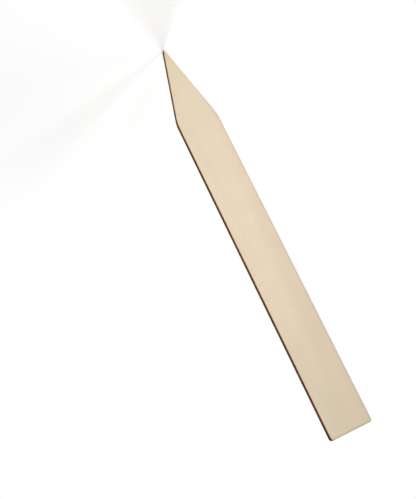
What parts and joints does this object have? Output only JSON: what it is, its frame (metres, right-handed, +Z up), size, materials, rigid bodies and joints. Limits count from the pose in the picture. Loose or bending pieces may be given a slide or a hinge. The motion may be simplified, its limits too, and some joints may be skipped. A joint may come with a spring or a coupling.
{
  "type": "plant label stake",
  "caption": "Slim flat wooden stake, pointed at one end and square at the other, pushed into potting soil to carry a handwritten plant name.",
  "frame": {"origin": "foot of the point, midway through the thickness: the deepest spot of the stake in the soil", "axes": "+Z up the stake from the point to the square end, +X across its width, and the face for writing looks along -Y"},
  "size_m": [0.0164, 0.0016, 0.15],
  "materials": {
    "face_veneer": "fine sanded, uncoated, walls browned by the laser",
    "core_veneer": "sawn cross grain, walls browned by the laser",
    "glue_film": "cured resin, charred where it was cut"
  },
  "bodies": {
    "root": {"front_veneer": "face_veneer", "front_glue_line": "glue_film", "core_veneer": "core_veneer", "back_glue_line": "glue_film", "back_veneer": "face_veneer"}
  },
  "joints": []
}
